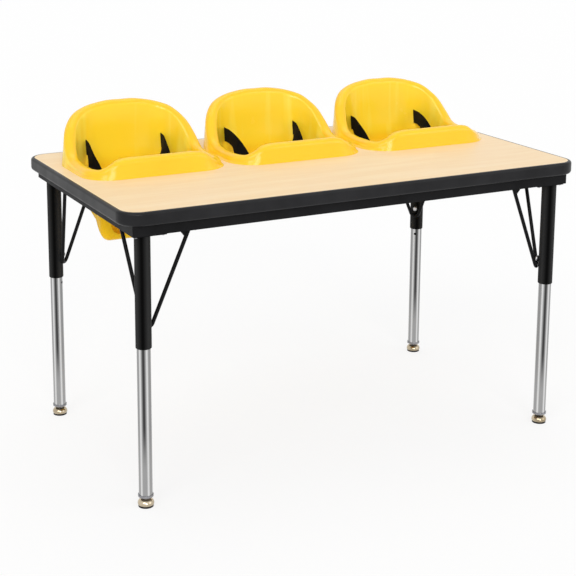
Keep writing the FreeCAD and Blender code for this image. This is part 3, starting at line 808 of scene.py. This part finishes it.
@dataclass(frozen=True)
class SeatForm:
    """Sizes of one moulded seat, as in the frame, and the places that follow from them."""

    top: float
    pitch: float = 0.385
    width: float = 0.372
    depth: float = 0.305
    lip_front: float = -0.030
    front_corner: float = 0.075
    back_corner: float = 0.120
    lip_reach: float = 0.043
    lip_crest: float = 0.022
    roll: float = 0.015
    sheet: float = 0.0045
    backrest: float = 0.142
    front_wall: float = 0.048
    side_wall: float = 0.020
    crease_reach: float = 0.006
    crease_share: float = 0.35
    tub_depth: float = 0.160
    tub_round: float = 0.020
    draft_share: float = 0.07
    pan_centre_share: float = 0.48
    pan_length_share: float = 0.14
    pan_width_share: float = 0.33
    spans: tuple[int, ...] = (4, 6, 8, 7, 2)
    round_step: int = 15
    front_rise: tuple[Span, ...] = (
        (0.0, 1.0), (0.215, 1.0), (0.238, 0.94), (0.264, 0.5), (0.29, 0.06), (0.31, 0.0), (1.0, 0.0),
    )
    back_rise: tuple[Span, ...] = (
        (0.0, 0.0), (0.46, 0.0), (0.55, 0.04), (0.60, 0.14), (0.645, 0.40), (0.68, 0.60),
        (0.745, 0.81), (0.80, 0.905), (0.86, 0.965), (0.92, 1.0), (1.0, 1.0),
    )
    floor_shares: tuple[Span, ...] = (
        (-1.0, 1.0), (0.19, 1.0), (0.25, 0.82), (0.71, 0.54), (1.0, 0.10), (2.0, 0.10),
    )

    @property
    def half(self) -> float:
        """Half the mouth's width."""
        return self.width / 2 - self.lip_reach

    @property
    def front(self) -> float:
        """Front of the mouth."""
        return self.lip_front + self.lip_reach

    @property
    def run(self) -> float:
        """Mouth from front to back."""
        return self.depth - 2 * self.lip_reach

    @property
    def back(self) -> float:
        """Back of the mouth."""
        return self.front + self.run

    @property
    def rounds(self) -> Span:
        """Corner radii of the mouth, front and back."""
        return self.front_corner - self.lip_reach, self.back_corner - self.lip_reach

    def stations(self) -> list[tuple[float, float, float, float, float]]:
        """Places round the mouth from the middle of the front.

        Returns:
            For each station x, y, the outward normal's x and y, and its share of the half round.
        """
        front_round, back_round = self.rounds
        fx, bx = self.half - front_round, self.half - back_round
        fy, by = self.front + front_round, self.back - back_round
        quarter = math.pi / 2
        lengths = (fx, quarter * front_round, by - fy, quarter * back_round, bx)

        def place(run: int, t: float) -> tuple[float, float, float, float]:
            """Place on one of the five runs of the half round.

            Args:
                run: Number of the run, from the front.
                t: Share of the way along it.

            Returns:
                x, y and the outward normal's x and y.
            """
            if run == 0:
                return t * fx, self.front, 0.0, -1.0
            if run == 2:
                return self.half, fy + t * (by - fy), 1.0, 0.0
            if run == 4:
                return bx * (1 - t), self.back, 0.0, 1.0
            x, y, r, turn = (fx, fy, front_round, t - 1) if run == 1 else (bx, by, back_round, t)
            c, s = math.cos(turn * quarter), math.sin(turn * quarter)
            return x + r * c, y + r * s, c, s

        half, before, whole = [], 0.0, sum(lengths)
        for run, (length, spans) in enumerate(zip(lengths, self.spans)):
            half += [place(run, i / spans) + ((before + length * i / spans) / whole,) for i in range(spans)]
            before += length
        half.append((0.0, self.back, 0.0, 1.0, 1.0))
        return half + [(-x, y, -nx, ny, share) for x, y, nx, ny, share in half[-2:0:-1]]

    def rim(self, share: float) -> float:
        """Height of the rim above the table top at a share of the half round."""
        return (self.side_wall + along(self.front_rise, share) * (self.front_wall - self.side_wall)
                + along(self.back_rise, share) * (self.backrest - self.side_wall))

    def floor(self, y: float) -> float:
        """Height of the sitting surface against the table top."""
        return -self.tub_depth * along(self.floor_shares, (y - self.front) / self.run)

    def pan_slope(self) -> float:
        """Angle of the flat pan."""
        third = self.run / 3
        return math.atan2(self.floor(self.back - third) - self.floor(self.front + third), third)

    def section(self, station: tuple[float, float, float, float, float], wall: float) -> list[Vector]:
        """The sheet's line at one station, from the pan to the foot of the lip.

        Args:
            station: One of stations().
            wall: 0 on the side that is sat in, or the sheet's thickness on the other.

        Returns:
            Places along the line.
        """
        x, y, nx, ny, share = station
        shoulder = self.rim(share) - self.roll
        crease = self.crease_reach * shoulder / (self.backrest - self.roll)
        reach = self.draft_share * self.floor(y)
        deep = self.floor(y + ny * (reach - self.tub_round))
        bend, roll = self.tub_round + wall, self.roll - wall

        def at(n: float, z: float) -> Vector:
            """Place at a distance out from the mouth and a height over the top."""
            return Vector((x + nx * n, y + ny * n, self.top + z))

        edge = at(reach - self.tub_round, deep - wall)
        pan_y = self.front + self.pan_centre_share * self.run
        angle = math.atan2((y - pan_y) / self.run, x / (2 * self.half))
        pan = Vector((self.pan_width_share * self.half * math.cos(angle),
                      pan_y + self.pan_length_share * self.run * math.sin(angle), 0.0))
        line = []
        for blend in (1.0, 0.8, 0.6, 0.4, 0.2):
            p = edge.lerp(pan, blend)
            line.append(Vector((p.x, p.y, self.top + self.floor(p.y) - wall)))
        line.append(edge)
        for degrees in range(90 - self.round_step, 0, -self.round_step):
            a = math.radians(degrees)
            line.append(at(reach - self.tub_round + bend * math.cos(a),
                           deep + self.tub_round - bend * math.sin(a)))
        low = deep + self.tub_round
        line += [at(reach * (1 - t) + wall, low * (1 - t)) for t in (0.0, 0.25, 0.5, 0.75, 1.0)]
        inner = self.lip_crest - self.roll
        for t in (0.5, 1.0):
            line.append(at(crease * t + wall, shoulder * self.crease_share * t))
        for t in (1 / 3, 2 / 3):
            line.append(at(crease + (inner - crease) * t + wall,
                           shoulder * (self.crease_share + (1 - self.crease_share) * t)))
        for degrees in range(180, -1, -self.round_step):
            a = math.radians(degrees)
            line.append(at(self.lip_crest + roll * math.cos(a), shoulder + roll * math.sin(a)))
        outer = self.lip_crest + self.roll
        for t in (0.25, 0.5, 0.75, 1.0):
            line.append(at(outer + (self.lip_reach - outer) * t - wall, shoulder * (1 - t)))
        return line


@dataclass
class Seat:
    """One yellow bucket seat: its smooth moulded sheet, leg openings and belt slots."""

    form: SeatForm
    place: Place
    plastic: bpy.types.Material
    opening_share: float = 0.32
    opening_height: float = 0.084
    opening_round: float = 0.026
    opening_sill: float = 0.014
    post_share: float = 0.18
    slot_inset: float = 0.041
    slot_height: float = 0.030
    slot_length: float = 0.039
    slot_width: float = 0.0032
    keeper_setback: float = 0.018
    overrun: float = 0.005
    per_span: int = 3
    opening_sides: int = 48
    crease_degrees: float = 50.0

    @property
    def slot_reach(self) -> float:
        """How far the belt slots are from the middle."""
        return self.form.half - self.slot_inset

    def rings(self, wall: float) -> list[list[Vector]]:
        """Smooth rings of one side of the sheet.

        Args:
            wall: 0 on the side that is sat in, or the sheet's thickness on the other.

        Returns:
            Rings from the pan to the foot of the lip.
        """
        lines = [self.form.section(station, wall) for station in self.form.stations()]
        return [curve_through(list(ring), self.per_span, True) for ring in zip(*lines)]

    def build(self) -> bpy.types.Object:
        """Makes the seat and puts it in place of its CAD node.

        Returns:
            The seat.
        """
        upper, lower = self.rings(0.0), self.rings(self.form.sheet)
        shift = Vector((self.place.step * self.form.pitch, 0.0, 0.0))
        count = len(upper[0])
        vertices = [p + shift for ring in upper + lower for p in ring]
        faces: Faces = []
        for first in (0, len(upper)):
            for row in range(first, first + len(upper) - 1):
                for i in range(count):
                    j, here, there = (i + 1) % count, row * count, (row + 1) * count
                    faces.append((here + i, here + j, there + j, there + i))
            faces.append(tuple(first * count + i for i in range(count)))
        last, under = (len(upper) - 1) * count, (2 * len(upper) - 1) * count
        faces += [(last + i, last + (i + 1) % count, under + (i + 1) % count, under + i)
                  for i in range(count)]
        seat = mesh_piece(f"moulded_seat_{self.place.word}", vertices, faces, self.plastic)
        self.cut(seat, shift)
        shade(seat.data, self.crease_degrees)
        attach(seat, ROOT_BODY)
        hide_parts(f"seat_{self.place.word}")
        return seat

    def cut(self, seat: bpy.types.Object, shift: Vector) -> None:
        """Cuts the leg openings and the belt slots.

        Args:
            seat: The seat to cut.
            shift: Where this seat sits along the table.
        """
        cutters = []
        for side in (-1, 1):
            cutters += [self.leg_cutter(side), self.slot_cutter(side)]
        for cutter in cutters:
            cutter.location = shift
            tool = seat.modifiers.new("cut", "BOOLEAN")
            tool.operation = "DIFFERENCE"
            tool.solver = "EXACT"
            tool.object = cutter
        bpy.context.view_layer.update()
        graph = bpy.context.evaluated_depsgraph_get()
        result = bpy.data.meshes.new_from_object(seat.evaluated_get(graph))
        seat.modifiers.clear()
        seat.data = result
        for cutter in cutters:
            bpy.data.objects.remove(cutter)

    def leg_cutter(self, side: int) -> bpy.types.Object:
        """Rounded block through the front of the tub, for one leg.

        Args:
            side: -1 for the left opening, 1 for the right.

        Returns:
            The cutter.
        """
        half, tall, r = self.opening_share * self.form.half, self.opening_height / 2, self.opening_round
        low = self.form.top - self.form.tub_depth + self.opening_sill
        x = side * (self.post_share + self.opening_share) * self.form.half
        loop = []
        for step in range(self.opening_sides):
            a = math.tau * (step + 0.5) / self.opening_sides
            c, s = math.cos(a), math.sin(a)
            loop.append((x + math.copysign(half - r, c) + r * c,
                         low + tall + math.copysign(tall - r, s) + r * s))
        near = self.form.front - self.overrun
        far = self.form.front + 2 * self.form.tub_round - self.overrun
        return prism("leg_cutter", loop, near, far, self.plastic)

    def slot_cutter(self, side: int) -> bpy.types.Object:
        """Upright block through the back corner, for one strap.

        Args:
            side: -1 for the left slot, 1 for the right.

        Returns:
            The cutter.
        """
        x, half = side * self.slot_reach, self.slot_width / 2
        low = self.form.top + self.slot_height - self.slot_length / 2
        high = low + self.slot_length
        wall = self.slot_wall()
        loop = [(x - half, low), (x + half, low), (x + half, high), (x - half, high)]
        return prism("slot_cutter", loop, wall - 2 * self.overrun, wall + self.keeper_setback, self.plastic)

    def slot_wall(self) -> float:
        """How far back the wall is at the slots.

        Returns:
            Y of the side that is sat in.
        """
        back_round = self.form.rounds[1]
        run = self.slot_reach - (self.form.half - back_round)
        return self.form.back - back_round + math.sqrt(back_round ** 2 - run ** 2)


def prism(name: str, loop: list[Span], near: float, far: float,
          material: bpy.types.Material) -> bpy.types.Object:
    """A block along Y with a given outline in X and Z.

    Args:
        name: Name of the block.
        loop: Outline as x and z.
        near: Its front.
        far: Its back.
        material: Any material.

    Returns:
        The block.
    """
    count = len(loop)
    vertices = [Vector((x, y, z)) for y in (near, far) for x, z in loop]
    faces: Faces = [tuple(range(count)), tuple(range(count, 2 * count))]
    faces += [(i, (i + 1) % count, count + (i + 1) % count, count + i) for i in range(count)]
    return mesh_piece(name, vertices, faces, material)


@dataclass
class LapStrap:
    """One webbing strap: a sewn loop round its keeper, then a soft ribbon through the slot to the buckle."""

    seat: Seat
    side: int
    route: Route
    webbing: bpy.types.Material
    width: float = 0.036
    thickness: float = 0.0016
    keeper_radius: float = 0.003
    loop_gap: float = 0.0003
    buckle_lift: float = 0.0063
    split: float = 0.008
    socket_length: float = 0.034
    tongue_length: float = 0.018
    lead: float = 0.005
    pocket: float = 0.0064
    around: int = 28
    per_stop: int = 6
    swing: float = 1.1
    buckle_gap: float = 0.0003
    crease_degrees: float = 60.0

    @property
    def name(self) -> str:
        """Name that the frame gives this strap."""
        return f"strap_{self.seat.place.word}_{'left' if self.side < 0 else 'right'}"

    @property
    def loop_radius(self) -> float:
        """Radius of the middle of the webbing in its loop round the keeper."""
        return self.keeper_radius + self.loop_gap + self.thickness / 2

    def slot_mouth(self) -> Vector:
        """Middle of the slot, on the side that is sat in."""
        seat = self.seat
        return Vector((self.side * seat.slot_reach, seat.slot_wall(), seat.form.top + seat.slot_height))

    def keeper(self) -> Vector:
        """Middle of the keeper bar behind the slot."""
        return self.slot_mouth() + Vector((0.0, self.seat.keeper_setback, 0.0))

    def buckle_centre(self) -> Vector:
        """Middle of the buckle on the pan.

        Returns:
            The place, for a seat in the middle of the table.
        """
        form = self.seat.form
        y = form.front + form.pan_centre_share * form.run
        slope = form.pan_slope()
        return Vector((0.0, y - self.buckle_lift * math.sin(slope),
                       form.top + form.floor(y) + self.buckle_lift * math.cos(slope)))

    def ribbon(self) -> tuple[list[Vector], list[Vector], list[Vector]]:
        """The strap's line from the keeper to the buckle.

        Returns:
            Places, width directions and thickness directions along it.
        """
        start, first = self.slot_mouth(), self.keeper() - Vector((0.0, self.loop_radius, 0.0))
        left_entry = self.split - self.socket_length
        right_entry = self.split + self.buckle_gap + self.tongue_length
        entry = right_entry if self.side > 0 else left_entry
        end = self.buckle_centre() + Vector((entry + self.side * self.lead, 0.0, 0.0))
        way = end - start
        stops = [(first, 0.0), (start, 0.0)]
        for across, forward, down, turn in self.route.value:
            stops.append((start + Vector((across * way.x, forward * way.y, down * way.z)), turn))
        stops += [(end, 1.0), (end - Vector((self.side * (self.lead + self.pocket), 0.0, 0.0)), 1.0)]
        places = curve_through([place for place, _ in stops], self.per_stop, False)
        eased = curve_through([Vector((turn, 0.0, 0.0)) for _, turn in stops], self.per_stop, False)
        slope = self.seat.form.pan_slope()
        flat = Vector((0.0, -math.sin(slope), math.cos(slope)))
        wide, thin = [], []
        for i, turn in enumerate(min(max(v.x, 0.0), 1.0) for v in eased):
            along_it = (places[min(i + 1, len(places) - 1)] - places[max(i - 1, 0)]).normalized()
            face = Vector((turn - 1, -self.swing * math.sin(math.pi * turn), 0.0)) + flat * turn
            wide.append(along_it.cross(face).normalized())
            thin.append(wide[-1].cross(along_it).normalized())
        return places, wide, thin

    @staticmethod
    def outline() -> list[Span]:
        """Cross-section with rounded selvedges: shares of half the width and half the thickness."""
        return [(-0.93, -1.0), (-0.4, -1.0), (0.4, -1.0), (0.93, -1.0), (1.0, -0.45), (1.0, 0.45),
                (0.93, 1.0), (0.4, 1.0), (-0.4, 1.0), (-0.93, 1.0), (-1.0, 0.45), (-1.0, -0.45)]

    def build(self) -> bpy.types.Object:
        """Makes the strap and puts it in place of its CAD solid.

        Returns:
            The strap.
        """
        shift = Vector((self.seat.place.step * self.seat.form.pitch, 0.0, 0.0))
        vertices: list[Vector] = []
        faces: Faces = []
        distances: list[Span] = []
        places, wide, thin = self.ribbon()
        self.add_band([p + shift for p in places], wide, thin, False, vertices, faces, distances)
        length = distances[-1][0]
        turns = [math.tau * i / self.around for i in range(self.around)]
        outward = [Vector((math.cos(a), math.sin(a), 0.0)) for a in turns]
        ring = [self.keeper() + shift + d * self.loop_radius for d in outward]
        upright = [Vector((0.0, 0.0, 1.0))] * self.around
        self.add_band(ring, upright, outward, True, vertices, faces, distances)
        strap = mesh_piece(f"webbing_{self.name}", vertices, faces, self.webbing, self.crease_degrees)
        layer = strap.data.uv_layers.new(name="strap")
        for loop in strap.data.loops:
            layer.data[loop.index].uv = distances[loop.vertex_index]
        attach(strap, ROOT_BODY)
        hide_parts(self.name)
        LOG.info("strap %s is %.0f mm long", self.name, 1000 * length)
        return strap

    def add_band(self, places: list[Vector], wide: list[Vector], thin: list[Vector], closed: bool,
                 vertices: list[Vector], faces: Faces, distances: list[Span]) -> None:
        """Adds a band of webbing along a line to a growing mesh.

        Args:
            places: The line.
            wide: Width direction at each place.
            thin: Thickness direction at each place.
            closed: Whether the band is a loop.
            vertices: Places to add to.
            faces: Faces to add to.
            distances: Way along and across the strap of each vertex, to add to.
        """
        shape = self.outline()
        base, side = len(vertices), len(shape)
        run = 0.0
        for i, place in enumerate(places):
            run += (place - places[i - 1]).length if i else 0.0
            for a, b in shape:
                vertices.append(place + wide[i] * (a * self.width / 2) + thin[i] * (b * self.thickness / 2))
                distances.append((run, a * self.width / 2))
        for i in range(len(places) if closed else len(places) - 1):
            for k in range(side):
                here, there = base + i * side, base + ((i + 1) % len(places)) * side
                faces.append((here + k, here + (k + 1) % side, there + (k + 1) % side, there + k))
        if not closed:
            faces.append(tuple(base + k for k in range(side)))
            faces.append(tuple(base + (len(places) - 1) * side + k for k in range(side)))


CUP_PLATING = PlatedMetal("nickel_cup", (0.66, 0.57, 0.43), (0.36, 0.29, 0.19), (0.10, 0.22))


@dataclass
class GlideCup:
    """Domed cup of one glide, with a mouth for the stem's ball and a recess for the sole."""

    corner: Corner
    metal: bpy.types.Material
    sides: int = 72
    rim_steps: int = 3
    dome_steps: int = 8
    crease_degrees: float = 50.0
    foot: float = 0.0041
    radius: float = 0.0190
    widest: float = 0.0080
    rim_round: float = 0.0018
    recess_radius: float = 0.0134
    recess_depth: float = 0.0020
    dome_reach: float = 0.0130
    dome_rise: float = 0.0112
    dome_end: float = 83.0
    mouth: float = 0.0062
    mouth_edge: float = 0.0180

    def outline(self) -> list[Span]:
        """Half section of the cup.

        Returns:
            Radius and height of each point, from the recess over the rim and the dome to the mouth.
        """
        roof = self.foot + self.recess_depth
        line = [(self.mouth, roof), (self.recess_radius, roof), (self.recess_radius, self.foot)]
        for step in range(self.rim_steps):
            turn = (step / self.rim_steps - 1) * math.pi / 2
            line.append((self.radius + self.rim_round * (math.cos(turn) - 1),
                         self.widest + (self.widest - self.foot) * math.sin(turn)))
        for step in range(self.dome_steps + 1):
            turn = math.radians(self.dome_end) * step / self.dome_steps
            line.append((self.radius + self.dome_reach * (math.cos(turn) - 1),
                         self.widest + self.dome_rise * math.sin(turn)))
        return line + [(self.mouth, self.mouth_edge)]

    def build(self) -> bpy.types.Object:
        """Spins the outline and puts the cup in place of its CAD solid.

        Returns:
            The cup.
        """
        node = f"glide_cup_{self.corner.value}"
        low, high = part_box(node)
        x, y = (low[0] + high[0]) / 2, (low[1] + high[1]) / 2
        outline = self.outline()
        turns = [math.tau * i / self.sides for i in range(self.sides)]
        vertices = [Vector((x + r * math.cos(a), y + r * math.sin(a), z)) for a in turns for r, z in outline]
        count = len(outline)
        faces: Faces = []
        for i in range(self.sides):
            here, there = i * count, (i + 1) % self.sides * count
            for k in range(count):
                after = (k + 1) % count
                faces.append((here + k, there + k, there + after, here + after))
        cup = mesh_piece(f"dome_{node}", vertices, faces, self.metal, self.crease_degrees)
        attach(cup, f"foot_{self.corner.value}")
        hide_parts(node)
        return cup


@dataclass
class Dressing:
    """Finishes of the CAD nodes that keep their own shape."""

    core: ChipBoard = ChipBoard()
    laminate: Laminate = Laminate()
    edge: SatinCoat = SatinCoat()
    rail: SatinCoat = SatinCoat(
        "painted_rail", deep=(0.006, 0.006, 0.0065), worn=(0.011, 0.011, 0.012), grain=Grain(cells=500.0),
        relief=Relief(0.00015, 0.35), rough=(0.42, 0.55), shine=0.08)
    powder: SatinCoat = SatinCoat(
        "powder_coat", deep=(0.0028, 0.0028, 0.0030), worn=(0.0055, 0.0055, 0.0060),
        grain=Grain(cells=1400.0), relief=Relief(0.00010, 0.35), rough=(0.26, 0.38), shine=0.10)
    buckle: SatinCoat = SatinCoat(
        "buckle_plastic", deep=(0.006, 0.006, 0.0065), worn=(0.012, 0.012, 0.0125), grain=Grain(cells=1800.0),
        relief=Relief(0.00008, 0.35), rough=(0.34, 0.46), shine=0.2)
    collar: SatinCoat = SatinCoat(
        "moulded_collar", deep=(0.20, 0.20, 0.215), worn=(0.30, 0.30, 0.32), grain=Grain(cells=700.0),
        relief=Relief(0.00006, 0.35), rough=(0.22, 0.34), shine=0.5)
    sleeve: SleeveCoat = SleeveCoat()
    chrome: BrightTube = BrightTube()
    zinc: PlatedMetal = PlatedMetal("zinc_screw", (0.66, 0.66, 0.67), (0.50, 0.50, 0.52), (0.26, 0.42))

    def dress(self) -> None:
        """Gives every CAD node its material."""
        edge, rail, powder = self.edge.make(), self.rail.make(), self.powder.make()
        chrome, zinc = self.chrome.make(), self.zinc.make()
        by_start = {
            "tabletop_core": self.core.make(), "top_laminate": self.laminate.make(), "edge_band": edge,
            "leg_plate": powder, "leg_sleeve": self.sleeve.make(), "leg_brace": powder, "leg_tube": chrome,
            "leg_ferrule": self.collar.make(), "glide_stem": zinc, "glide_sole": edge,
            "buckle": self.buckle.make(), "strap_keepers": zinc, "seat_screws": zinc, "plate_screws": zinc,
            "brace_screws": powder, "lock_screws": zinc,
        }
        by_start.update({f"{side}_rail": rail for side in ("front", "back", "left", "right")})
        for name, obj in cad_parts.items():
            material = next((m for start, m in by_start.items() if name.startswith(start)), None)
            if material is not None:
                wear(obj, material)
                LOG.info("%s wears %s", name, material.name)


@dataclass(frozen=True)
class Lamp:
    """A far, soft lamp: where it shines from, what it points at, its spread in degrees and its strength."""

    name: str
    place: Triple
    target: Triple
    spread: float
    strength: float

    def hang(self) -> None:
        """Adds the lamp to the scene."""
        data = bpy.data.lights.new(self.name, "SUN")
        data.angle, data.energy = math.radians(self.spread), self.strength
        obj = bpy.data.objects.new(self.name, data)
        obj.location = self.place
        shine = Vector(self.target) - Vector(self.place)
        obj.rotation_euler = shine.to_track_quat("-Z", "Y").to_euler()
        bpy.context.scene.collection.objects.link(obj)


@dataclass
class Studio:
    """Camera at the photograph's viewpoint, soft lamps, pale floor and white surround."""

    eye: Triple = (-1.65661, -3.05767, 1.44619)
    azimuth: float = -25.986
    elevation: float = 11.573
    roll: float = -0.021
    lens: float = 87.919
    sensor: float = 36.0
    shift: Span = (0.0822, -0.25141)
    far: float = 100.0
    world_strength: float = 0.62
    floor_half: float = 14.0
    lamps: tuple[Lamp, ...] = (
        Lamp("key_lamp", (-2.6, -2.2, 3.2), (0.0, 0.0, 0.55), 29.0, 0.65),
        Lamp("fill_lamp", (2.6, -2.8, 2.2), (0.0, 0.0, 0.5), 32.0, 0.29),
        Lamp("front_lamp", (-1.0, -3.6, 2.3), (0.0, 0.1, 0.75), 25.0, 0.86),
        Lamp("top_lamp", (0.3, 0.6, 3.6), (0.0, 0.0, 0.6), 46.0, 0.40),
    )

    def build(self) -> None:
        """Makes the whole studio."""
        self.camera()
        self.floor()
        self.world()
        for lamp in self.lamps:
            lamp.hang()
        bpy.context.scene.view_settings.view_transform = "Standard"

    def camera(self) -> None:
        """Sets the camera to the measured viewpoint."""
        data = bpy.data.cameras.new("photo_view")
        data.lens, data.sensor_width = self.lens, self.sensor
        data.shift_x, data.shift_y = self.shift
        data.clip_end = self.far
        obj = bpy.data.objects.new("photo_view", data)
        az, el = math.radians(self.azimuth), math.radians(self.elevation)
        back = Vector((math.sin(az) * math.cos(el), -math.cos(az) * math.cos(el), math.sin(el)))
        right = Vector((math.cos(az), math.sin(az), 0.0))
        turn = Matrix((right, back.cross(right), back)).transposed()
        turn = turn @ Matrix.Rotation(math.radians(self.roll), 3, "Z")
        obj.matrix_world = Matrix.Translation(self.eye) @ turn.to_4x4()
        bpy.context.scene.collection.objects.link(obj)
        bpy.context.scene.camera = obj

    def floor(self) -> None:
        """Lays the floor under the glides."""
        h = self.floor_half
        corners = [Vector((x, y, CAD_BOX[0][2])) for x, y in ((-h, -h), (h, -h), (h, h), (-h, h))]
        floor = mesh_piece("studio_floor", corners, [(0, 1, 2, 3)], StudioFloor().make())

    def world(self) -> None:
        """White to the camera and in reflections, softer as a light."""
        world = bpy.data.worlds.new("studio")
        bpy.context.scene.world = world
        world.use_nodes = True
        nodes = Nodes(world.node_tree)
        ground = nodes.tree.nodes["Background"]
        nodes.put(ground, Color=WHITE)
        level = nodes.add("ShaderNodeMapRange")
        nodes.put(level, To_Min=self.world_strength, To_Max=1.0)
        nodes.link(nodes.seen_directly(), level.inputs["Value"])
        nodes.link(level.outputs["Result"], ground.inputs["Strength"])


def main() -> None:
    """Builds the studio, dresses the frame and adds the seats, straps and glide cups."""
    logging.basicConfig(level=logging.INFO)
    Studio().build()
    Dressing().dress()
    form = SeatForm(top=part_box("top_laminate")[1][2])
    plastic, webbing = SeatPlastic().make(), Webbing().make()
    for place in Place:
        seat = Seat(form, place, plastic)
        LOG.info("built %s", seat.build().name)
        for side, route in zip((-1, 1), STRAP_ROUTES[place]):
            LOG.info("built %s", LapStrap(seat, side, route, webbing).build().name)
    nickel = CUP_PLATING.make()
    for corner in Corner:
        LOG.info("built %s", GlideCup(corner, nickel).build().name)


if __name__ == "__main__":
    main()
